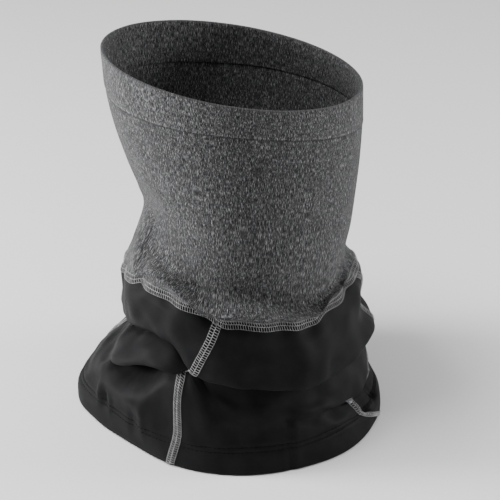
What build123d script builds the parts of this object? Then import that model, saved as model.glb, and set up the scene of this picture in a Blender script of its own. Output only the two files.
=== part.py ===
"""Neck gaiter, worn shape, standing on its bottom hem.

Millimetres. +Z is up, the wearer faces -Y and +X is the wearer's left. The origin is on the floor, at the
middle of the bottom hem.
"""

import os
from math import cos, radians, sin

from build123d import *

# Driving dimensions.
SEAM_HEIGHT = 108.0  # where the jersey tube meets the fleece panels
RIM_HEIGHT = 256.0  # rim above the floor, on the axis
RIM_SLOPE = 0.18  # the rim drops this much per millimetre towards the nape
RIM_LEAN = 0.02  # and this much towards the wearer's left
JERSEY_WALL = 0.9
FILM_WALL = 0.3  # bonding film inside the turned top hem
TOP_HEM_DEPTH = 26.0
FILM_MARGIN = 2.0  # the film stops this far inside both edges of the top hem
FLEECE_WALL = 1.6
BOTTOM_HEM_DEPTH = 24.0
THREAD_PROUD = 0.6  # how far the stitching stands out from the cloth
SEAM_STITCH_WIDTH = 6.0
NEEDLE_WIDTH = 0.6
NEEDLE_PROUD = 0.3  # the cover stitch pulls into the cloth, so it stands out less
NEEDLE_GAP = 0.02
HEM_NEEDLE_HEIGHTS = (17.0, 20.2)
PANEL_STITCH_FOOT = 2.0  # the panel seams' stitching ends this far above the floor

# The cloth's outline in plan at several heights: height, half width, half depth, shift towards the nape.
FLEECE_RINGS = (
    (0.0, 105.0, 97.0, 0.0),
    (10.0, 103.0, 95.5, 0.0),
    (24.0, 98.0, 91.0, 1.0),
    (42.0, 91.0, 86.0, 3.0),
    (60.0, 93.0, 88.0, 5.0),
    (84.0, 87.0, 82.0, 5.0),
    (SEAM_HEIGHT, 80.0, 79.0, 5.0),
)
JERSEY_RINGS = (
    (SEAM_HEIGHT, 80.0, 79.0, 5.0),
    (126.0, 75.0, 74.0, 6.0),
    (152.0, 74.0, 71.0, 9.0),
    (180.0, 79.0, 76.5, 7.0),
    (206.0, 83.0, 82.0, 4.0),
    (232.0, 85.0, 85.0, 2.0),
    (258.0, 85.6, 85.6, 0.0),
    (285.0, 86.0, 86.0, -1.0),
)

# Panel seams: the angle at the neck seam and at the hem, from the wearer's front towards the left. The lower
# half is worn with a slight twist, so each seam leans the same way.
PANEL_SEAMS = {
    "front_left": (46.0, 32.0),
    "back_left": (140.0, 126.0),
    "back_right": (220.0, 206.0),
    "front_right": (314.0, 300.0),
}
PANELS = {
    "left_side_panel": ("front_left", "back_left"),
    "back_panel": ("back_left", "back_right"),
    "right_side_panel": ("back_right", "front_right"),
    "front_panel": ("front_right", "front_left"),
}

RIM_PLANE = Plane(origin=(0, 0, RIM_HEIGHT), x_dir=(1, 0, 0), z_dir=(RIM_LEAN, RIM_SLOPE, 1))


def save(name, part):
    """Label one finished piece and write its STEP file."""
    part.label = name
    export_step(part, f"parts/{name}.step")


def ring_loft(rings, grow):
    """A solid through elliptical rings, each grown outwards by grow (negative shrinks it)."""
    with BuildPart() as body:
        for height, half_width, half_depth, shift in rings:
            with BuildSketch(Plane((0, shift, height))):
                Ellipse(half_width + grow, half_depth + grow)
        loft()
    return body.part


def direction(angle):
    """Unit vector at an angle from the wearer's front, positive towards the wearer's left."""
    return Vector(sin(radians(angle)), -cos(radians(angle)), 0)


def seam_plane(seam):
    """The leaning plane that a panel seam lies in; its normal points towards larger angles."""
    top_angle, hem_angle = PANEL_SEAMS[seam]
    top = direction(top_angle) * FLEECE_RINGS[-1][1] + Vector(0, 0, SEAM_HEIGHT)
    hem = direction(hem_angle) * FLEECE_RINGS[0][1]
    middle = Vector(0, 0, SEAM_HEIGHT / 2)
    normal = (top - middle).cross(hem - middle)
    return Plane(origin=middle, z_dir=normal)


def seam_side_plane(seam):
    """A plane through the axis that has the seam on its positive side."""
    top_angle, hem_angle = PANEL_SEAMS[seam]
    return Plane(origin=(0, 0, 0), z_dir=direction((top_angle + hem_angle) / 2))


def between_heights(low, high):
    """Keep only what lies between two heights of the part being built."""
    split(bisect_by=Plane.XY.offset(low), keep=Keep.TOP)
    split(bisect_by=Plane.XY.offset(high), keep=Keep.BOTTOM)


os.makedirs("parts", exist_ok=True)

# ---- Jersey tube with its turned and bonded top hem ----

hem_wall = 2 * JERSEY_WALL + FILM_WALL
jersey_outside = ring_loft(JERSEY_RINGS, 0)
jersey_inside = ring_loft(JERSEY_RINGS, -JERSEY_WALL)
film_inside = ring_loft(JERSEY_RINGS, -JERSEY_WALL - FILM_WALL)
hem_inside = ring_loft(JERSEY_RINGS, -hem_wall)

with BuildPart() as single_wall_bore:
    add(jersey_inside)
    split(bisect_by=RIM_PLANE.offset(-TOP_HEM_DEPTH), keep=Keep.BOTTOM)

with BuildPart() as top_hem_bond:
    add(jersey_inside)
    add(film_inside, mode=Mode.SUBTRACT)
    split(bisect_by=RIM_PLANE.offset(-FILM_MARGIN), keep=Keep.BOTTOM)
    split(bisect_by=RIM_PLANE.offset(FILM_MARGIN - TOP_HEM_DEPTH), keep=Keep.TOP)
save("top_hem_bond", top_hem_bond.part)

with BuildPart() as upper_tube:
    add(jersey_outside)
    add(hem_inside, mode=Mode.SUBTRACT)
    add(single_wall_bore.part, mode=Mode.SUBTRACT)
    split(bisect_by=RIM_PLANE, keep=Keep.BOTTOM)
    add(top_hem_bond.part, mode=Mode.SUBTRACT)
save("upper_tube", upper_tube.part)

# ---- Fleece panels, double where the bottom hem is turned up ----

fleece_outside = ring_loft(FLEECE_RINGS, 0)
fleece_inside = ring_loft(FLEECE_RINGS, -FLEECE_WALL)
turned_inside = ring_loft(FLEECE_RINGS, -2 * FLEECE_WALL)

with BuildPart() as single_fleece_bore:
    add(fleece_inside)
    split(bisect_by=Plane.XY.offset(BOTTOM_HEM_DEPTH), keep=Keep.TOP)

with BuildPart() as fleece_wall:
    add(fleece_outside)
    add(turned_inside, mode=Mode.SUBTRACT)
    add(single_fleece_bore.part, mode=Mode.SUBTRACT)

for panel_name, (first_seam, last_seam) in PANELS.items():
    with BuildPart() as panel:
        add(fleece_wall.part)
        split(bisect_by=seam_plane(first_seam), keep=Keep.TOP)
        split(bisect_by=seam_plane(last_seam), keep=Keep.BOTTOM)
    save(panel_name, panel.part)

# ---- Stitching, as bands that lie on the cloth ----


def cloth_skin(rings, inside, thickness):
    """A skin round the outside of the cloth, out to the given thickness."""
    with BuildPart() as skin:
        add(ring_loft(rings, thickness))
        add(inside, mode=Mode.SUBTRACT)
    return skin.part


def needle_line(height):
    """One line of the cover stitch, all round the hem."""
    with BuildPart() as line:
        add(needle_skin)
        between_heights(height - NEEDLE_WIDTH / 2, height + NEEDLE_WIDTH / 2)
    return line.part


fleece_skin = cloth_skin(FLEECE_RINGS, fleece_outside, THREAD_PROUD)
jersey_skin = cloth_skin(JERSEY_RINGS, jersey_outside, THREAD_PROUD)
needle_skin = cloth_skin(FLEECE_RINGS, ring_loft(FLEECE_RINGS, NEEDLE_GAP), NEEDLE_PROUD)
half_stitch = SEAM_STITCH_WIDTH / 2

with BuildPart() as neck_seam_thread:
    add(fleece_skin)
    add(jersey_skin)
    between_heights(SEAM_HEIGHT - half_stitch, SEAM_HEIGHT + half_stitch)
save("neck_seam_thread", neck_seam_thread.part)

with BuildPart() as hem_stitch_thread:
    for needle_height in HEM_NEEDLE_HEIGHTS:
        add(needle_line(needle_height))
save("hem_stitch_thread", hem_stitch_thread.part)

# Each panel seam's band runs from the neck seam down to the hem, over the two lines of the cover stitch.
for seam_name in PANEL_SEAMS:
    with BuildPart() as seam_thread:
        add(fleece_skin)
        between_heights(PANEL_STITCH_FOOT, SEAM_HEIGHT - half_stitch)
        split(bisect_by=seam_side_plane(seam_name), keep=Keep.TOP)
        split(bisect_by=seam_plane(seam_name).offset(-half_stitch), keep=Keep.TOP)
        split(bisect_by=seam_plane(seam_name).offset(half_stitch), keep=Keep.BOTTOM)
        add(hem_stitch_thread.part, mode=Mode.SUBTRACT)
    save(f"{seam_name}_seam_thread", seam_thread.part)
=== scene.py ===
"""The looks of the neck gaiter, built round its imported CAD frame.

Everything that is cloth or stitching is taken from one surface, the cloth. A point on it has a level, which
runs from 0 at the top rim to the last ring at the bottom hem, and an angle round the tube. The surface is
worked out in millimetres and written to Blender in metres.
"""

import math

import bpy
import numpy as np
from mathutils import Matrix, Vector


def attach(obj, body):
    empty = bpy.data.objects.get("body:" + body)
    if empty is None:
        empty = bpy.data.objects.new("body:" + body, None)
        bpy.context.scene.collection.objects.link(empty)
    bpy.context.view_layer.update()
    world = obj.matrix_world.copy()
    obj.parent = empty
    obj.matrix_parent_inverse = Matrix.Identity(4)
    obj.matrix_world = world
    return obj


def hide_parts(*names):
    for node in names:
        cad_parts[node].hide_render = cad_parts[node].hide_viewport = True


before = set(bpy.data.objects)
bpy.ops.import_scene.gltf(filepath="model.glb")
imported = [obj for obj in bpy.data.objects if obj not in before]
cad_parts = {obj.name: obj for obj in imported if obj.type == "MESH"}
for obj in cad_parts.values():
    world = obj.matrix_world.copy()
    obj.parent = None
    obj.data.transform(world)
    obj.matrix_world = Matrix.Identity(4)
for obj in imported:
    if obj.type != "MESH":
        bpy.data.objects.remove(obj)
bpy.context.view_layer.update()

MM = 0.001
BODY = "root"

# ---- Sizes, in millimetres ----

RIM_RADIUS = 85.6
RIM_HEIGHT = 255.8
RIM_FALL_X, RIM_FALL_Y = 0.022, 0.179  # how fast the rim drops towards the wearer's left and the nape
JERSEY_WALL = 0.9
FILM_WALL = 0.3
FLEECE_WALL = 1.6
TOP_HEM_DEPTH = 26.0
BOTTOM_HEM_DEPTH = 24.0
NEEDLE_DISTANCES = (16.5, 20.0)  # of the two cover-stitch lines from the bottom edge
SEAM_WIDTH = 6.2

# ---- The cloth's rings ----
# Angles go round from the corner between the wearer's front and left side, which is FOLD_ZERO degrees from
# the wearer's front; positive is towards the left side and the nape. A ring's points are (angle, radius,
# height).

FOLD_ZERO = 55.0
NOTCH_ANGLE = -70.0  # the hollow under the chin


def wearer_direction(angle):
    """Unit vectors in plan for angles round the cloth."""
    turned = np.radians(np.asarray(angle) + FOLD_ZERO)
    return np.stack([np.sin(turned), -np.cos(turned), np.zeros_like(turned)], axis=-1)


def rim_ring(count=12):
    """The round rim, in its tilted plane."""
    angles = np.arange(count) * 360 / count - 180
    x, y, _ = RIM_RADIUS * wearer_direction(angles).T
    heights = RIM_HEIGHT - RIM_FALL_X * x - RIM_FALL_Y * y
    return [(a, RIM_RADIUS, h) for a, h in zip(angles, heights)]


def face_ring(radius, hollow, heights, count=24):
    """A ring of the face tube: round, but drawn in under the chin. heights holds (angle, height)."""
    angles = np.arange(count) * 360 / count - 180
    inward = ((1 + np.cos(np.radians(angles - NOTCH_ANGLE))) / 2) ** 4
    levels = round_ring([(a, h) for a, h in heights], angles)[:, 0]
    return list(zip(angles, radius - hollow * inward, levels))


def round_ring(points, angles):
    """Smooth periodic interpolation of rows (angle, value, ...) at the given angles."""
    table = wrapped(np.array(sorted(points), float))
    knots, values = table[:, 0], table[:, 1:]
    gap = np.diff(knots)[:, None]
    slope = np.diff(values, axis=0) / gap
    tangent = (slope[:-1] * gap[1:] + slope[1:] * gap[:-1]) / (gap[1:] + gap[:-1])
    knots, values = knots[1:-1], values[1:-1]
    angles = (np.asarray(angles, float) - knots[0]) % 360 + knots[0]
    i = np.clip(np.searchsorted(knots, angles, side="right") - 1, 0, len(knots) - 2)
    width = (knots[i + 1] - knots[i])[..., None]
    share = (angles - knots[i])[..., None] / width
    return hermite(values[i], values[i + 1], tangent[i] * width, tangent[i + 1] * width, share)


def wrapped(table):
    """The table with two rows repeated before and after it, a full turn away."""
    before, after = table[-2:].copy(), table[:2].copy()
    before[:, 0] -= 360
    after[:, 0] += 360
    return np.concatenate([before, table, after])


def hermite(start, end, start_tangent, end_tangent, share):
    """Cubic between two values with the given tangents."""
    square, cube = share**2, share**3
    return (
        (2 * cube - 3 * square + 1) * start
        + (cube - 2 * square + share) * start_tangent
        + (3 * square - 2 * cube) * end
        + (cube - square) * end_tangent
    )


RINGS = {
    "rim": rim_ring(),
    "top_hem": face_ring(86, 3.1, [(-180, 219), (-90, 239), (0, 242), (90, 217)]),
    "cheek": face_ring(85, 7.7, [(-180, 193), (-90, 213), (0, 216), (90, 192)]),
    "jaw": face_ring(83, 14, [(-180, 170), (-90, 188), (0, 185), (90, 168)]),
    "throat": face_ring(80.5, 19.5, [(-180, 147), (-90, 167), (-45, 166), (0, 150), (90, 146)]),
    "valley": [
        (-180, 74, 122), (-140, 70, 130), (-110, 63, 146), (-90, 60.5, 152), (-69, 61, 161),
        (-60, 64, 154), (-54, 66, 143), (-43, 68, 136.5), (-29, 70.5, 130), (-20, 71.5, 125),
        (-9, 73, 122.5), (4.6, 73.5, 120), (15, 74.5, 115.5), (28, 75, 108), (41, 76, 105.5),
        (52, 77, 107), (60, 77.5, 108), (78, 76.5, 117), (90, 76, 124), (105, 74, 120), (130, 73, 120),
    ],
    "roll": [
        (-180, 78, 114), (-140, 75, 118), (-110, 69, 126), (-90, 67, 131), (-72, 71, 135), (-61, 76, 132),
        (-53, 81, 124), (-46, 79, 130), (-40, 80, 130), (-27, 83.5, 126), (-20, 86, 122), (-13, 89, 115),
        (-6, 88.5, 114), (4, 87.5, 113.5), (14, 87, 111.5), (26, 86.5, 106.5), (36, 85.5, 103.8),
        (44, 85, 102), (52, 82, 106), (60, 81, 106.5), (72, 81.5, 110), (80, 78, 114), (90, 78, 118),
        (105, 77, 114), (130, 77, 114),
    ],
    "neck_seam": [
        (-180, 79, 106), (-140, 77, 108), (-110, 75, 107), (-90, 74, 108), (-78, 74.5, 113),
        (-60, 76, 117.5), (-53, 75, 121.5), (-46, 77.5, 121), (-35, 79, 121), (-20, 81, 117.5),
        (-13, 80, 114.5), (-5, 81.5, 109.8), (4, 82.5, 107.5), (10, 83, 106.5), (17, 83, 104.8),
        (26, 83, 102.6), (35, 83, 100.5), (41, 82, 100.5), (47, 80, 103.5), (60, 81, 104), (70, 80, 108),
        (78, 82, 109), (90, 83, 111), (105, 81, 108), (130, 80, 106),
    ],
    "shoulder_top": [
        (-180, 84, 96), (-140, 82, 97), (-110, 77, 95), (-88, 75.6, 95), (-70, 78, 102), (-48, 81, 110),
        (-30, 85, 109), (-10, 90, 98), (10, 92, 92), (33, 91, 88), (55, 88, 92), (78, 87, 98),
        (90, 87.7, 101), (110, 86, 98), (140, 85, 96),
    ],
    "first_bulge": [
        (-180, 88, 84), (-140, 85, 86), (-110, 78, 84), (-88, 76.5, 82), (-64, 79, 88), (-37, 83, 97),
        (-25, 88, 92), (-12, 94, 84), (5, 96, 79), (25, 96, 73), (50, 93, 70), (70, 89, 74),
        (90, 86.5, 78), (110, 86, 80), (140, 88, 84),
    ],
    "first_edge": [
        (-180, 89, 72), (-140, 84, 74), (-110, 78, 74), (-88, 76, 75), (-64, 77, 78), (-37, 81, 88.5),
        (-27, 85, 86), (-23, 87.5, 80.5), (-20, 90, 76), (-17, 92, 72.5), (-12, 94, 70), (-4, 95.5, 68),
        (5.5, 96.5, 65), (21, 96.5, 60), (33, 95.5, 57.5), (53, 93, 55), (72, 94, 56), (88, 98, 59),
        (110, 94, 62), (140, 90, 66),
    ],
    "first_crease": [
        (-180, 83, 66), (-140, 79, 66), (-110, 73, 65), (-88, 70.5, 66), (-64, 70, 76), (-50, 71, 85),
        (-37, 73.5, 90), (-27, 77.5, 89), (-23, 80, 85), (-20, 82, 80.5), (-16, 84, 76.5),
        (-10, 85.5, 73.5), (-4, 86, 72.5), (5.5, 86.5, 69.5), (21, 86.5, 64.5), (33, 85.5, 61.5),
        (53, 84, 58), (72, 86, 57), (88, 91, 52), (110, 89, 53), (140, 84, 59),
    ],
    "second_bulge": [
        (-180, 88, 58), (-140, 84, 58), (-110, 76, 54), (-88, 77, 53), (-72, 82, 62), (-56, 86, 69),
        (-40, 87, 77), (-28, 86, 77), (-22, 84, 73.5), (-17, 84, 71.5), (-12, 85.5, 66), (-4, 88, 56),
        (5.5, 89.5, 51), (21, 90.5, 48), (40, 91.5, 43), (60, 91, 40), (78, 91, 37), (90, 92.5, 36),
        (110, 90, 40), (140, 89, 48),
    ],
    "second_edge": [
        (-180, 91, 46), (-140, 88, 46), (-110, 83, 45), (-88, 84, 45), (-72, 89, 50), (-58, 92, 57),
        (-45, 92, 65), (-33, 91, 69), (-24, 88.5, 68.5), (-20, 85, 70), (-16, 85, 69), (-11, 89, 59),
        (-4, 91.5, 50), (5.5, 93, 44), (21, 94, 42), (40, 96, 36), (52, 94.5, 29.5), (62, 93, 24),
        (74, 93.5, 23.5), (90, 94, 26), (110, 91, 30), (140, 92, 40),
    ],
    "second_crease": [
        (-180, 90, 38), (-140, 90, 37), (-110, 91, 36), (-90, 94, 37), (-79, 94, 41), (-70, 90, 46),
        (-64, 76, 50), (-55, 64, 60), (-47, 65, 66), (-38, 72, 70.5), (-29, 80, 70.5), (-24, 83, 70.5),
        (-20, 84, 69.5), (-15, 89, 60), (-8, 92.5, 46), (5.5, 95, 37), (21, 96, 35), (40, 94, 31),
        (52, 87, 31), (62, 82.5, 32), (76, 84, 33), (90, 90, 31), (110, 93, 25), (140, 92, 32),
    ],
    "pocket_lip": [
        (-180, 94, 28), (-140, 95, 26), (-110, 99, 26), (-90, 101, 26), (-74, 96, 31), (-60, 95, 34),
        (-50, 96, 38), (-41, 95, 43), (-34, 93, 52), (-27, 91, 59), (-20, 92.5, 53), (-14, 93.5, 44),
        (-4, 95, 35), (5.5, 96, 30), (21, 97, 28), (40, 98, 23), (60, 98, 16), (78, 98, 14),
        (90, 98.5, 16), (110, 98, 16), (140, 94, 24),
    ],
    "skirt": [
        (-180, 96, 14), (-140, 100, 13), (-110, 106, 13), (-90, 108.5, 14), (-74, 99, 18), (-60, 94, 21),
        (-45, 94, 23), (-30, 95, 26), (-10, 97, 22), (5.5, 98, 17), (40, 101, 12), (70, 102, 9),
        (90, 102, 10), (110, 101, 9), (140, 97, 12),
    ],
    "hem_edge": [
        (-180, 97, 0), (-140, 103, 0), (-110, 108, 0), (-93, 110.5, 0), (-85, 108, 0), (-75, 102, 0),
        (-66, 98, 0), (-55, 94, 0), (-43, 93, 0), (-27, 96.5, 0), (-10, 99, 0), (5, 100.5, 0),
        (25, 102, 0), (47, 105, 0), (72, 104, 0), (88, 103.5, 0), (110, 101, 0), (140, 97, 0),
    ],
}
LEVEL = {name: float(i) for i, name in enumerate(RINGS)}
RIM, SEAM, HEM = LEVEL["rim"], LEVEL["neck_seam"], LEVEL["hem_edge"]

# A panel seam's path: ring name to angle, from the neck seam down to the hem.
PANEL_SEAMS = {
    "front_left": {
        "neck_seam": -5.5, "shoulder_top": -9, "first_bulge": -13, "first_edge": -17, "second_bulge": -17.5,
        "second_edge": -18, "second_crease": -23.5, "skirt": -22.5, "hem_edge": -26,
    },
    "back_left": {
        "neck_seam": 78, "shoulder_top": 86, "first_bulge": 89, "first_edge": 94, "first_crease": 97,
        "second_bulge": 98, "second_edge": 93, "second_crease": 59, "pocket_lip": 62, "skirt": 68,
        "hem_edge": 78,
    },
    "back_right": {"neck_seam": 165, "first_edge": 160, "hem_edge": 151},
    "front_right": {"neck_seam": 259, "first_edge": 254, "hem_edge": 245},
}
PANELS = {
    "left_side_panel": ("front_left", "back_left"),
    "back_panel": ("back_left", "back_right"),
    "right_side_panel": ("back_right", "front_right"),
    "front_panel": ("front_right", "front_left"),
}


def seam_angle(seam, levels):
    """The angle of a panel seam at each level."""
    path = PANEL_SEAMS[seam]
    return np.interp(levels, [LEVEL[ring] for ring in path], list(path.values()))


# ---- The cloth surface ----

ROWS_PER_RING = 10
COLUMNS = 720


class Cloth:
    """The surface as a fine grid of points and normals that the pieces are sampled from."""

    def __init__(self):
        self.levels = np.linspace(0, HEM, int(HEM) * ROWS_PER_RING + 1)
        self.angles = np.arange(COLUMNS) * 360 / COLUMNS - 180
        rings = np.array([round_ring(points, self.angles) for points in RINGS.values()])
        section = self._lengthwise(rings)
        outward = section[..., :1] * wearer_direction(self.angles)
        self.points = outward + section[..., 1:] * np.array([0, 0, 1])
        self.refresh()

    def _lengthwise(self, rings):
        """Joins the rings along the tube, column by column, with an even curve through folds and creases."""
        chord = np.linalg.norm(np.diff(rings, axis=0), axis=2) + 1e-6
        chord = np.sqrt(chord * chord.mean(axis=1, keepdims=True))[..., None]
        slope = np.diff(rings, axis=0) / chord
        tangent = np.concatenate([
            slope[:1],
            (slope[:-1] * chord[1:] + slope[1:] * chord[:-1]) / (chord[1:] + chord[:-1]),
            slope[-1:],
        ])
        i = np.minimum(self.levels.astype(int), len(rings) - 2)
        share = (self.levels - i)[:, None, None]
        return hermite(rings[i], rings[i + 1], tangent[i] * chord[i], tangent[i + 1] * chord[i], share)

    def refresh(self):
        """Works out the normals, and how far each row lies along the cloth from the rim."""
        along = np.gradient(self.points, axis=0)
        around = np.roll(self.points, -1, axis=1) - np.roll(self.points, 1, axis=1)
        normals = np.cross(along, around)
        normals /= np.linalg.norm(normals, axis=2, keepdims=True) + 1e-12
        outward = np.sign((normals * wearer_direction(self.angles)).sum(axis=2).mean())
        self.normals = normals * outward
        steps = np.linalg.norm(np.diff(self.points, axis=0), axis=2)
        self.length = np.concatenate([np.zeros((1, COLUMNS)), np.cumsum(steps, axis=0)])

    def displace(self, amount):
        """Moves the surface along its normals by amount, a grid of millimetres."""
        self.points = self.points + self.normals * amount[..., None]
        self.refresh()

    def _sample(self, grid, levels, angles):
        """Smooth interpolation of a grid at any levels and angles."""
        row = np.clip(np.asarray(levels, float), 0, HEM) * ROWS_PER_RING
        column = (np.asarray(angles, float) + 180) % 360 / 360 * COLUMNS
        i, j = np.floor(row).astype(int), np.floor(column).astype(int)
        i = np.minimum(i, len(self.levels) - 2)
        rows = [(np.clip(i + k, 0, len(self.levels) - 1), w) for k, w in zip((-1, 0, 1, 2), weights(row - i))]
        columns = [((j + k) % COLUMNS, w) for k, w in zip((-1, 0, 1, 2), weights(column - j))]
        return sum(
            (row_weight * column_weight)[..., None] * grid[r, c]
            for r, row_weight in rows
            for c, column_weight in columns
        )

    def point(self, levels, angles):
        return self._sample(self.points, levels, angles)

    def normal(self, levels, angles):
        normals = self._sample(self.normals, levels, angles)
        return normals / (np.linalg.norm(normals, axis=-1, keepdims=True) + 1e-12)

    def down(self, levels, angles):
        """Unit vector along the cloth, towards the bottom hem."""
        step = 0.5 / ROWS_PER_RING
        levels = np.clip(levels, step, HEM - step)
        along = self.point(levels + step, angles) - self.point(levels - step, angles)
        return along / (np.linalg.norm(along, axis=-1, keepdims=True) + 1e-12)

    def length_at(self, levels, angles):
        """Millimetres of cloth from the rim."""
        return self._sample(self.length[..., None], levels, angles)[..., 0]

    def level_at(self, lengths, angles):
        """The level that lies the given millimetres of cloth from the rim."""
        place = (np.asarray(angles, float) + 180) % 360 / 360 * COLUMNS
        low = np.floor(place).astype(int)
        share = place - low
        found = np.empty(place.shape)
        for at in np.ndindex(place.shape):
            left, right = self.length[:, low[at] % COLUMNS], self.length[:, (low[at] + 1) % COLUMNS]
            found[at] = np.interp(lengths[at], left + (right - left) * share[at], self.levels)
        return found

    def degrees_per_mm(self, levels, angles):
        """How many degrees round the tube make one millimetre of cloth."""
        across = self.point(levels, angles + 0.5) - self.point(levels, angles - 0.5)
        return 1 / (np.linalg.norm(across, axis=-1) + 1e-9)


def weights(share):
    """Catmull-Rom weights of the four neighbours."""
    square, cube = share**2, share**3
    return (
        (-cube + 2 * square - share) / 2,
        (3 * cube - 5 * square + 2) / 2,
        (-3 * cube + 4 * square + share) / 2,
        (cube - square) / 2,
    )


def smooth_step(low, high, value):
    share = np.clip((value - low) / (high - low), 0, 1)
    return share * share * (3 - 2 * share)


def hump(value, width):
    """1 at zero, falling smoothly to nothing."""
    return np.exp(-((value / width) ** 2))


def turn(angle, centre):
    """Degrees from centre to angle, the short way round."""
    return (angle - centre + 180) % 360 - 180


def ripple(levels, angles, seed, rounds, lengths):
    """Gentle irregular waves, about -1 to 1. rounds and lengths bound the waves per turn and per level."""
    draw = np.random.default_rng(seed)
    total = np.zeros(np.broadcast(levels, angles).shape)
    count = 9
    for _ in range(count):
        waves = draw.integers(rounds[0], rounds[1] + 1) * draw.choice([-1, 1])
        along = draw.uniform(*lengths)
        phase = draw.uniform(0, 2 * math.pi)
        total += np.sin(np.radians(angles) * waves + levels * along + phase)
    return total / math.sqrt(count)


# Creases that run down the cloth: angle, first and last level, half width in degrees, millimetres out.
CREASES = (
    (22.5, 13.2, 17.5, 1.6, -0.9),
    (25.5, 13.0, 17.5, 2.4, 0.5),
    (45, 8.6, 11.2, 5.0, -1.6),
    (-41, 15.0, 16.8, 2.4, 1.6),
    (-47, 15.2, 16.9, 2.2, -1.2),
    (-63, 15.0, 16.7, 1.8, 1.3),
    (-67, 14.8, 16.6, 1.8, -1.5),
    (-71, 14.6, 16.5, 1.8, 1.4),
    (8, 8.6, 10.2, 4.0, -1.2),
    (30, 8.3, 10.4, 4.5, 1.2),
    (67, 14.1, 15.9, 2.4, -3.0),
    (73, 14.0, 15.9, 2.2, 1.6),
    (79, 14.0, 15.8, 2.2, -2.6),
    (150, 8.6, 11.4, 6.0, -1.8),
    (-160, 12.6, 16.4, 4.0, -1.6),
    (118, 12.4, 16.0, 4.0, 1.6),
)


def shape_details(cloth):
    """Puckers, creases, hem ridges and stitch grooves, added to the plain folds."""
    levels, angles = cloth.levels[:, None], cloth.angles[None, :]
    from_hem = cloth.length[-1] - cloth.length
    seam_row = int(SEAM) * ROWS_PER_RING
    from_neck = cloth.length - cloth.length[seam_row]
    fleece = smooth_step(SEAM, SEAM + 0.6, levels)
    jersey = 1 - fleece
    free = smooth_step(0, 30, from_hem)

    amount = 0.80 * fleece * free * ripple(levels, angles, 11, (4, 11), (0.6, 2.2))
    amount += 0.34 * fleece * free * ripple(levels, angles, 12, (14, 30), (1.0, 4.0))
    amount += 0.25 * jersey * smooth_step(2.0, 4.0, levels) * ripple(levels, angles, 13, (3, 9), (0.3, 1.2))

    # The gathers that the neck seam draws in on both sides.
    wave = ripple(0 * levels, angles, 14, (18, 34), (0, 0))
    amount += 0.7 * wave * hump(from_neck, 9) + 0.35 * wave * hump(from_neck - 16, 12)
    amount += 0.5 * hump(from_neck - 1.5, 4.5)

    for angle, first, last, width, out in CREASES:
        span = smooth_step(first, first + 0.8, levels) * (1 - smooth_step(last - 0.8, last, levels))
        amount += out * span * hump(turn(angles, angle), width)

    for seam in PANEL_SEAMS:
        path = seam_angle(seam, levels)
        off = turn(angles, path) * math.radians(1) * 92
        along = np.sin(from_hem / 4.2 + path)
        amount += fleece * (0.45 * hump(off, 4.0) + 0.22 * along * hump(np.abs(off) - 5, 4.5))

    # The turned hems: one layer thicker, with a ridge where the inner layer ends.
    amount += 0.30 * (1 - smooth_step(TOP_HEM_DEPTH - 0.3, TOP_HEM_DEPTH + 1.1, cloth.length))
    amount += 0.20 * hump(cloth.length - TOP_HEM_DEPTH + 1, 1.4)
    amount += 0.3 * (1 - smooth_step(BOTTOM_HEM_DEPTH - 1.5, BOTTOM_HEM_DEPTH + 1.5, from_hem))
    for distance in NEEDLE_DISTANCES:
        amount -= 0.6 * hump(from_hem - distance, 0.8)
    cloth.displace(amount)


# ---- Meshes ----


def new_object(name, points, faces, materials, corner_uvs=None, face_materials=None):
    """A smooth-shaded mesh object from points in millimetres and a list of faces."""
    mesh = bpy.data.meshes.new(name)
    mesh.from_pydata((np.asarray(points) * MM).tolist(), [], [list(f) for f in faces])
    for material in materials:
        mesh.materials.append(material)
    if corner_uvs is not None:
        layer = mesh.uv_layers.new(name="UVMap")
        layer.data.foreach_set("uv", np.asarray(corner_uvs, np.float32).ravel())
    if face_materials is not None:
        mesh.polygons.foreach_set("material_index", np.asarray(face_materials, np.int32))
    mesh.polygons.foreach_set("use_smooth", np.ones(len(mesh.polygons), bool))
    mesh.update()
    made = bpy.data.objects.new(name, mesh)
    bpy.context.scene.collection.objects.link(made)
    return made


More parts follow.
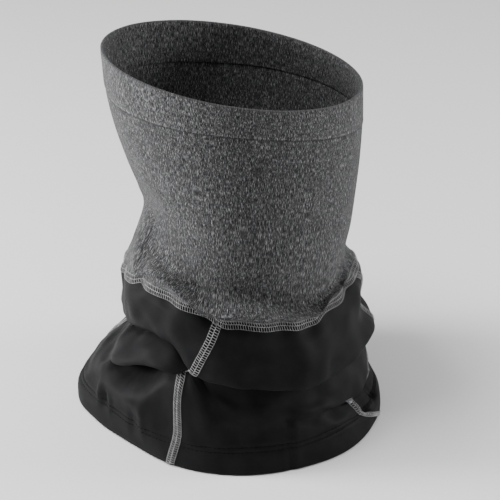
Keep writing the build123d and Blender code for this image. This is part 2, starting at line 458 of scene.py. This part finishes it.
def shell(name, cloth, outline, edges, columns, materials, inside_material=0):
    """Cloth with thickness. outline is the closed section: rows (level, offset, lift), down one face and back
    up the other, paired row by row. edges gives the two angles that bound the piece at each level, or is None
    for a piece that goes all the way round."""
    outline = np.array(outline, float)
    level, offset, lift = outline.T
    count = len(outline)
    share = np.arange(columns if edges is None else columns + 1) / columns
    if edges is None:
        angle = np.broadcast_to(share * 360 - 180, (count, columns))
    else:
        first, last = edges(level)
        angle = first[:, None] + (last - first)[:, None] * share
    grid_level = np.broadcast_to(level[:, None], angle.shape)
    points = cloth.point(grid_level, angle)
    points = points + cloth.normal(grid_level, angle) * offset[:, None, None]
    points = points + cloth.down(grid_level, angle) * lift[:, None, None]
    points[..., 2] = np.maximum(points[..., 2], 0)

    wide = angle.shape[1]
    i, j = np.meshgrid(np.arange(count), np.arange(columns), indexing="ij")
    i, j = i.ravel(), j.ravel()
    corner_rows = np.stack([i, i + 1, i + 1, i], axis=1)
    corner_columns = np.stack([j, j, j + 1, j + 1], axis=1)
    faces = (corner_rows % count) * wide + corner_columns % wide

    inside = np.arange(count) >= count // 2
    along = cloth.length_at(grid_level, angle).mean(axis=1)
    uv_v = np.append(along, along[0]) / 10
    around = np.radians(np.concatenate([angle, angle[:, -1:] + 360 / columns], axis=1)) * RIM_RADIUS / 10
    around = np.concatenate([around, around[:1]])
    uvs = np.stack([around[corner_rows, corner_columns], uv_v[corner_rows]], axis=-1)
    kinds = np.where(inside[i], inside_material, 0)

    faces, uvs, kinds = faces.tolist(), uvs.reshape(-1, 2).tolist(), kinds.tolist()
    if edges is not None:
        for column in (0, columns):
            for k in range(count // 2 - 1):
                ring = (k, k + 1, count - 2 - k, count - 1 - k)
                face = [row * wide + column for row in ring]
                faces.append(face if column else face[::-1])
                uvs.extend([around[row, column], uv_v[row]] for row in (ring if column else ring[::-1]))
                kinds.append(0)
    return new_object(name, points.reshape(-1, 3), faces, materials, uvs, kinds)


def rounded_turn(level, outer, inner, lift, steps=6):
    """Outline rows that carry a fold from the outer offset round to the inner one."""
    swing = np.linspace(0, math.pi, steps + 2)[1:-1]
    middle, half = (outer + inner) / 2, (outer - inner) / 2
    return [(level, middle + half * math.cos(s), lift * math.sin(s)) for s in swing]


def tubes(paths, normals, radius, sides=6):
    """Points and faces of many round threads. paths is threads x points x 3; radius is one for each point."""
    threads, count = paths.shape[:2]
    along = np.gradient(paths, axis=1)
    along /= np.linalg.norm(along, axis=2, keepdims=True) + 1e-12
    side = np.cross(along, normals)
    side /= np.linalg.norm(side, axis=2, keepdims=True) + 1e-12
    up = np.cross(side, along)
    swing = np.arange(sides) * 2 * math.pi / sides
    radius = np.broadcast_to(np.asarray(radius, float), (threads, count))[..., None, None]
    points = (
        paths[:, :, None]
        + radius * np.cos(swing)[:, None] * up[:, :, None]
        + radius * np.sin(swing)[:, None] * side[:, :, None]
    )
    thread, ring, s = np.meshgrid(np.arange(threads), np.arange(count - 1), np.arange(sides), indexing="ij")
    base = (thread * count + ring) * sides
    following = (s + 1) % sides
    quads = np.stack([base + s, base + following, base + sides + following, base + sides + s], axis=-1)
    faces = quads.reshape(-1, 4).tolist()
    for k in range(threads):
        start, end = k * count * sides, ((k + 1) * count - 1) * sides
        faces.append(list(range(start + sides - 1, start - 1, -1)))
        faces.append(list(range(end, end + sides)))
    return points.reshape(-1, 3), faces


def thread_object(name, parts, material):
    """One piece of stitching from several groups of tubes."""
    points, faces, start = [], [], 0
    for part_points, part_faces in parts:
        points.append(part_points)
        faces.extend([[v + start for v in face] for face in part_faces])
        start += len(part_points)
    return new_object(name, np.concatenate(points), faces, [material])


# ---- Materials ----


class Nodes:
    """Short ways to add the shader nodes used here."""

    def __init__(self, name):
        self.material = bpy.data.materials.new(name)
        self.material.use_nodes = True
        self.tree = self.material.node_tree
        self.shader = next(n for n in self.tree.nodes if n.type == "BSDF_PRINCIPLED")

    def add(self, kind, settings=None, **inputs):
        node = self.tree.nodes.new("ShaderNode" + kind)
        for key, value in (settings or {}).items():
            setattr(node, key, value)
        for key, value in inputs.items():
            self.link(value, node.inputs[key.replace("_", " ")])
        return node

    def link(self, value, socket):
        if isinstance(value, bpy.types.NodeSocket):
            self.tree.links.new(value, socket)
        else:
            socket.default_value = value

    def math(self, operation, first, second):
        node = self.add("Math", {"operation": operation})
        self.link(first, node.inputs[0])
        self.link(second, node.inputs[1])
        return node.outputs[0]

    def noise(self, vector, scale, detail=2.0, roughness=0.5):
        node = self.add("TexNoise", Vector=vector, Scale=scale, Detail=detail, Roughness=roughness)
        return node.outputs["Fac"]

    def stretched(self, vector, across, along):
        """The coordinates scaled differently across and along the knit."""
        return self.add("Mapping", Vector=vector, Scale=(across, along, 1)).outputs["Vector"]

    def ramp(self, factor, *stops):
        """Colour ramp; a stop is (position, grey or (r, g, b))."""
        node = self.add("ValToRGB", Fac=factor)
        elements = node.color_ramp.elements
        while len(elements) < len(stops):
            elements.new(0.5)
        for element, (position, colour) in zip(elements, stops):
            element.position = position
            element.color = (*(colour if isinstance(colour, tuple) else (colour,) * 3), 1)
        return node.outputs["Color"]

    def bump(self, height, distance, strength=1.0, normal=None):
        node = self.add("Bump", Height=height, Distance=distance, Strength=strength)
        if normal is not None:
            self.link(normal, node.inputs["Normal"])
        return node.outputs["Normal"]

    def set(self, **inputs):
        for key, value in inputs.items():
            self.link(value, self.shader.inputs[key.replace("_", " ")])


def knit_uv(nodes):
    """The cloth's own coordinates, in centimetres."""
    return nodes.add("UVMap", {"uv_map": "UVMap"}).outputs["UV"]


def jersey_material(name="heather jersey", hem_ridge_bump_and_painted_shade=True):
    """Grey marl: fine light and dark fibres run down the wales of a smooth knit, with a painted highlight and
    painted shade along the end of the top hem.
    """
    n = Nodes(name)
    uv = knit_uv(n)
    streak = n.noise(n.stretched(uv, 26.0, 3.0), 1.0, 2.0, 0.6)
    fine = n.noise(n.stretched(uv, 38.0, 7.0), 1.0, 1.0, 0.6)
    broad = n.noise(n.stretched(uv, 6.0, 0.5), 1.0, 2.0, 0.5)
    mixed = n.math("ADD", n.math("MULTIPLY", streak, 0.58), n.math("MULTIPLY", fine, 0.30))
    mixed = n.math("ADD", mixed, n.math("MULTIPLY", broad, 0.12))
    # Painted highlight and painted shade: the ridge at the end of the turned top hem goes into the colour as
    # a light line above a dark one, the hem band above it a touch lighter, as well as into the bump.
    if hem_ridge_bump_and_painted_shade:  # the end of the turned top hem is a fine ridge, light above and dark below
        along = n.add("SeparateXYZ", Vector=uv).outputs["Y"]
        beside = n.math("MULTIPLY", n.math("SUBTRACT", along, TOP_HEM_DEPTH / 10), 0.8)
        place = n.math("ADD", beside, 0.5)
        ridge_bump_and_painted_shade = n.ramp(place, (0.0, 0.60), (0.36, 0.62), (0.47, 1.0), (0.56, 0.0), (0.68, 0.5))
        # The ridge's painted highlight and painted shade are added to the marl's colour here; the same ramp
        # also drives a real bump below.
        mixed = n.math("ADD", mixed, n.math("MULTIPLY", n.math("SUBTRACT", ridge_bump_and_painted_shade, 0.5), 0.06))
    colour = n.ramp(
        mixed,
        (0.38, (0.002, 0.002, 0.0022)),
        (0.47, (0.019, 0.019, 0.020)),
        (0.54, (0.067, 0.067, 0.069)),
        (0.63, (0.280, 0.280, 0.285)),
    )
    wales = n.add("TexWave", {"bands_direction": "X"}, Vector=uv, Scale=3.6, Distortion=1.2, Detail=1.0)
    knit = n.noise(n.stretched(uv, 16, 11), 1.0, 2.0, 0.6)
    normal = n.bump(wales.outputs["Fac"], 0.00012, 0.5)
    normal = n.bump(knit, 0.00035, 0.7, normal)
    if hem_ridge_bump_and_painted_shade:
        normal = n.bump(ridge_bump_and_painted_shade, 0.0008, 0.6, normal)
    n.set(Base_Color=colour, Roughness=0.86, Normal=normal, Specular_IOR_Level=0.15)
    n.set(Sheen_Weight=0.08, Sheen_Roughness=0.45, Sheen_Tint=(0.8, 0.8, 0.82, 1))
    return n.material


def fleece_material():
    """The smooth black face of the bonded fleece."""
    n = Nodes("black fleece face")
    uv = knit_uv(n)
    cloud = n.noise(n.stretched(uv, 0.9, 0.6), 1.0, 3.0, 0.5)
    colour = n.ramp(cloud, (0.3, (0.0062, 0.0062, 0.0066)), (0.7, (0.0096, 0.0096, 0.0103)))
    wales = n.add("TexWave", {"bands_direction": "X"}, Vector=uv, Scale=4.4, Distortion=0.8, Detail=1.0)
    knit = n.noise(n.stretched(uv, 26, 20), 1.0, 2.0, 0.6)
    normal = n.bump(wales.outputs["Fac"], 0.00006, 0.5)
    normal = n.bump(knit, 0.00016, 0.6, normal)
    roughness = n.ramp(knit, (0.3, 0.46), (0.7, 0.58))
    n.set(Base_Color=colour, Roughness=roughness, Normal=normal, IOR=1.12)
    n.set(Sheen_Weight=0.004, Sheen_Roughness=0.4, Sheen_Tint=(0.8, 0.8, 0.85, 1))
    return n.material


def brushed_material():
    """The brushed pile on the inside of the fleece."""
    n = Nodes("black fleece pile")
    uv = knit_uv(n)
    clump = n.noise(n.stretched(uv, 5, 4), 1.0, 5.0, 0.65)
    colour = n.ramp(clump, (0.35, (0.008, 0.008, 0.009)), (0.7, (0.024, 0.024, 0.026)))
    normal = n.bump(clump, 0.0011, 0.9)
    n.set(Base_Color=colour, Roughness=0.95, Normal=normal, Specular_IOR_Level=0.15)
    n.set(Sheen_Weight=0.7, Sheen_Roughness=0.55, Sheen_Tint=(0.7, 0.7, 0.73, 1))
    return n.material


def thread_material(name, dark, light, shine):
    """Twisted sewing thread, with a little fuzz."""
    n = Nodes(name)
    position = n.add("TexCoord").outputs["Object"]
    fuzz = n.noise(position, 2600.0, 3.0, 0.7)
    patch = n.noise(position, 380.0, 2.0, 0.5)
    colour = n.ramp(patch, (0.35, dark), (0.65, light))
    n.set(Base_Color=colour, Roughness=0.55, Normal=n.bump(fuzz, 0.00018, 0.8), Specular_IOR_Level=shine)
    return n.material


def film_material():
    """The clear glue film inside the top hem."""
    n = Nodes("bond film")
    position = n.add("TexCoord").outputs["Object"]
    haze = n.noise(position, 900.0, 3.0, 0.6)
    colour = n.ramp(haze, (0.3, (0.20, 0.20, 0.21)), (0.7, (0.32, 0.32, 0.33)))
    n.set(Base_Color=colour, Roughness=0.35, Normal=n.bump(haze, 0.0001, 0.4))
    return n.material


# ---- Pieces ----


def even_levels(first, last):
    """Levels a row apart, both ends included."""
    count = max(int(round((last - first) * ROWS_PER_RING * 1.2)), 1)
    return np.linspace(first, last, count + 1)


def mean_level(cloth, length, from_hem=False):
    """The level that on average lies length millimetres from the rim, or from the bottom edge."""
    along = cloth.length.mean(axis=1)
    return float(np.interp(along[-1] - length if from_hem else length, along, cloth.levels))


def build_tube(cloth, materials):
    """The face tube, its top edge turned in to make the hem."""
    hem_end = mean_level(cloth, TOP_HEM_DEPTH)
    layer = JERSEY_WALL + FILM_WALL
    inner = layer + JERSEY_WALL
    start = 0.08
    outside = [(level, 0, 0) for level in even_levels(start, SEAM)]
    bend = rounded_turn(RIM, 0, -inner, -1)
    bend = [(level, offset, (1 + rise) * inner / 2) for level, offset, rise in bend]
    pressed = [0.6 * smooth_step(hem_end - 0.25, hem_end, level) for level in even_levels(start, hem_end)]
    turned_face = [(level, thin - inner, 0) for level, thin in zip(even_levels(start, hem_end), pressed)]
    turned_edge = [(hem_end + 0.02, -layer - 0.15, 0), (hem_end + 0.02, -layer - 0.05, 0)]
    turned_back = [(level, -layer, 0) for level in even_levels(start, hem_end - 0.01)][::-1]
    lining = [(level, -JERSEY_WALL, 0) for level in even_levels(start + 0.005, SEAM)]
    outline = outside[::-1] + bend + turned_face + turned_edge + turned_back + lining
    return shell("upper_tube_cloth", cloth, outline, None, COLUMNS, materials, inside_material=1)


def build_film(cloth, material):
    """The ring of film between the two layers of the top hem."""
    first, last = mean_level(cloth, 2), mean_level(cloth, TOP_HEM_DEPTH - 2)
    levels = even_levels(first, last)
    outline = [(level, -JERSEY_WALL - 0.02, 0) for level in levels]
    outline += [(level, -JERSEY_WALL - FILM_WALL + 0.02, 0) for level in levels[::-1]]
    return shell("top_hem_bond_film", cloth, outline, None, COLUMNS // 2, [material])


def build_panel(cloth, name, seams, materials):
    """One shoulder panel: fleece, turned in at the bottom edge to a double thickness."""
    first_seam, last_seam = seams
    hem_top = mean_level(cloth, BOTTOM_HEM_DEPTH, from_hem=True)
    double = 2 * FLEECE_WALL
    radius = double / 2
    levels = np.concatenate([even_levels(SEAM, hem_top), even_levels(hem_top + 0.03, HEM - 0.16)])
    outside = [(level, 0, 0) for level in levels]
    inside = [(level, -double if level > hem_top + 0.02 else -FLEECE_WALL, 0) for level in levels[::-1]]
    bend = [(HEM, offset, -radius + rise) for _, offset, rise in rounded_turn(HEM, 0, -double, radius)]

    def edges(level):
        first = seam_angle(first_seam, level)
        return first, first + (seam_angle(last_seam, level) - first) % 360

    wide = edges(np.array([SEAM]))
    columns = int(round(float((wide[1] - wide[0])[0]) * 2.2))
    outline = outside + bend + inside
    return shell(name + "_cloth", cloth, outline, edges, columns, materials, inside_material=1)


class Strip:
    """A narrow band on the cloth along a seam. place() takes millimetres across and stitches along."""

    def __init__(self, cloth, levels, angles, pitch, across_down):
        self.cloth, self.across_down = cloth, across_down
        track = cloth.point(levels, angles)
        run = np.concatenate([[0], np.cumsum(np.linalg.norm(np.diff(track, axis=0), axis=1))])
        self.stitches = int(run[-1] / pitch)
        self.pitch = run[-1] / self.stitches
        steady = np.unwrap(np.asarray(angles, float), period=360)
        self.track = (run / self.pitch, np.asarray(levels, float), steady)

    def place(self, across, along):
        """The point on the cloth and its normal."""
        across, along = np.broadcast_arrays(np.asarray(across, float), np.asarray(along, float))
        level = np.interp(along, self.track[0], self.track[1])
        angle = np.interp(along, self.track[0], self.track[2])
        if self.across_down:
            length = self.cloth.length_at(level, angle) + across
            level = self.cloth.level_at(length, angle)
        else:
            angle = angle + across * self.cloth.degrees_per_mm(level, angle)
        return self.cloth.point(level, angle), self.cloth.normal(level, angle)

    def thread(self, across, along, height, radius, sides=6):
        """A group of threads; each argument is threads x points."""
        points, normals = self.place(across, along)
        height = np.broadcast_to(height, np.shape(across))
        return tubes(points + normals * height[..., None], normals, radius, sides)


def flatlock(name, strip, material, shift=0.0, closed=False):
    """A flat seam's cover: two edge chains, a middle chain, and slanting rungs between them."""
    draw = np.random.default_rng(21)
    count = strip.stitches
    half = SEAM_WIDTH / 2
    first, last = (0, count) if closed else (0.2, count - 0.2)
    parts = []
    along = np.linspace(first, last, count * 5 + 1)[None, :]
    beat = np.cos(2 * math.pi * along)
    for across, height, radius in ((-half, 0.12, 0.16), (0.0, 0.34, 0.20), (half, 0.12, 0.16)):
        sway = across + shift + 0.10 * np.sin(2 * math.pi * along) * (1 if across >= 0 else -1)
        parts.append(strip.thread(sway, along, height + 0.07 * beat, radius * (1 + 0.22 * beat)))
    station = np.arange(0 if closed else 1, count)[:, None] + draw.normal(0, 0.03, (count - (not closed), 1))
    share = np.linspace(0, 1, 6)[None, :]
    arch = 0.20 + 0.24 * np.sin(share * math.pi * 0.8)
    for side, lean in ((-1, 0.34), (1, -0.26)):
        across = side * half * (1 - share) + shift
        parts.append(strip.thread(across + 0 * station, station + lean * share, arch + 0 * station, 0.20))
    return thread_object(name, parts, material)


def panel_seam_strip(cloth, seam):
    levels = np.linspace(SEAM + 0.28, HEM - 0.03, 260)
    return Strip(cloth, levels, seam_angle(seam, levels), 1.8, across_down=False)


def neck_seam_strip(cloth):
    angles = np.linspace(-180, 180, 1441)
    return Strip(cloth, np.full(len(angles), SEAM), angles, 1.7, across_down=True)


def hem_stitches(cloth, material):
    """The two needle lines of the bottom hem's cover stitch."""
    parts = []
    for row, distance in enumerate(NEEDLE_DISTANCES):
        angles = np.linspace(-180, 180, 1441)
        level = mean_level(cloth, distance, from_hem=True)
        total = cloth.length_at(np.full(len(angles), HEM), angles)
        levels = cloth.level_at(total - distance, angles)
        levels = np.clip(levels, level - 0.6, level + 0.6)
        strip = Strip(cloth, levels, angles, 3.1, across_down=True)
        start = np.arange(strip.stitches)[:, None] + 0.37 * row
        share = np.linspace(0, 1, 8)[None, :]
        height = -0.20 + 0.34 * np.sin(share * math.pi) ** 0.5
        along = (start + 0.05 + 0.90 * share) % strip.stitches
        along = np.where(along < along[:, :1], strip.stitches - 1e-3, along)
        radius = 0.24 * (0.75 + 0.25 * np.sin(share * math.pi))
        parts.append(strip.thread(0 * along, along, height + 0 * along, radius + 0 * along))
    return thread_object("hem_stitches", parts, material)


# ---- Surroundings ----

CAMERA_AZIMUTH, CAMERA_ELEVATION = 55, 28
CAMERA_DISTANCE = 1.5
CAMERA_TARGET = (0, 0, 0.130)
AIM_RIGHT, AIM_UP = 0.01156, -0.0110
CAMERA_LENS = 158.8

# Each light: name, place as add_light takes it, size and power.
AMBIENT = 0.36
LIGHTS = (
    ("key", (-1.25, 0.38, 0.02), 0.40, 30.0),
    ("rim", (1.20, 0.40, -0.05), 0.50, 14.0),
    ("top", (-0.55, 1.50, 0.20), 0.60, 22.0),
)


def view_axes():
    """Unit vectors of the camera: to its right, upward in its picture, and from the object towards it."""
    azimuth, elevation = math.radians(CAMERA_AZIMUTH), math.radians(CAMERA_ELEVATION)
    right = np.array([math.cos(azimuth), math.sin(azimuth), 0])
    level = np.array([math.sin(azimuth), -math.cos(azimuth), 0])
    up = np.array([0, 0, 1])
    toward = level * math.cos(elevation) + up * math.sin(elevation)
    upward = up * math.cos(elevation) - level * math.sin(elevation)
    return right, upward, toward, level


def point_at(thing, position, aim):
    thing.location = position
    thing.rotation_euler = (Vector(aim) - Vector(position)).to_track_quat("-Z", "Y").to_euler()


def add_camera():
    right, upward, toward, _ = view_axes()
    data = bpy.data.cameras.new("camera")
    data.lens = CAMERA_LENS
    data.sensor_width = 36
    data.clip_end = 50
    camera = bpy.data.objects.new("camera", data)
    bpy.context.scene.collection.objects.link(camera)
    target = np.array(CAMERA_TARGET)
    aim = target + right * AIM_RIGHT + upward * AIM_UP
    position = target + toward * CAMERA_DISTANCE + right * AIM_RIGHT + upward * AIM_UP
    point_at(camera, position, aim)
    bpy.context.scene.camera = camera


def add_light(name, offset, size, power, aim=(0, 0, 0.13)):
    """A soft square light. offset is metres to the camera's right, up, and level towards the camera."""
    right, _, _, level = view_axes()
    data = bpy.data.lights.new(name, "AREA")
    data.size = size
    data.energy = power
    light = bpy.data.objects.new(name, data)
    bpy.context.scene.collection.objects.link(light)
    position = right * offset[0] + np.array([0, 0, 1]) * offset[1] + level * offset[2]
    point_at(light, position, aim)


def add_surroundings():
    floor_nodes = Nodes("floor")
    floor_nodes.set(Base_Color=(0.86, 0.86, 0.86, 1), Roughness=0.9)
    bpy.ops.mesh.primitive_plane_add(size=14, location=(0, 0, -0.0004))
    floor = bpy.context.object
    floor.name = "floor"
    floor.data.materials.append(floor_nodes.material)

    world = bpy.data.worlds.new("studio")
    bpy.context.scene.world = world
    world.use_nodes = True
    world.node_tree.nodes["Background"].inputs["Color"].default_value = (1, 1, 1, 1)
    world.node_tree.nodes["Background"].inputs["Strength"].default_value = AMBIENT
    for light in LIGHTS:
        add_light(*light)


def stands_for(piece, node):
    """The piece is shown in place of a CAD node and rides on the body."""
    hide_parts(node)
    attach(piece, BODY)


def main():
    cloth = Cloth()
    shape_details(cloth)

    jersey, fleece, pile = jersey_material(), fleece_material(), brushed_material()
    seam_thread = thread_material("grey seam thread", 0.18, 0.34, 0.3)
    hem_thread = thread_material("black hem thread", 0.002, 0.004, 0.05)

    tube = build_tube(cloth, [jersey, jersey_material("heather jersey back", hem_ridge_bump_and_painted_shade=False)])
    film = build_film(cloth, film_material())
    panels = {name: build_panel(cloth, name, seams, [fleece, pile]) for name, seams in PANELS.items()}
    neck = flatlock("neck_seam_stitches", neck_seam_strip(cloth), seam_thread, shift=1.6, closed=True)
    seams = {
        seam: flatlock(seam + "_seam_stitches", panel_seam_strip(cloth, seam), seam_thread)
        for seam in PANEL_SEAMS
    }
    hem = hem_stitches(cloth, hem_thread)

    stands_for(tube, "upper_tube")
    stands_for(film, "top_hem_bond")
    stands_for(neck, "neck_seam_thread")
    stands_for(hem, "hem_stitch_thread")
    for name, panel in panels.items():
        stands_for(panel, name)
    for seam, stitches in seams.items():
        stands_for(stitches, seam + "_seam_thread")


main()
add_surroundings()
add_camera()
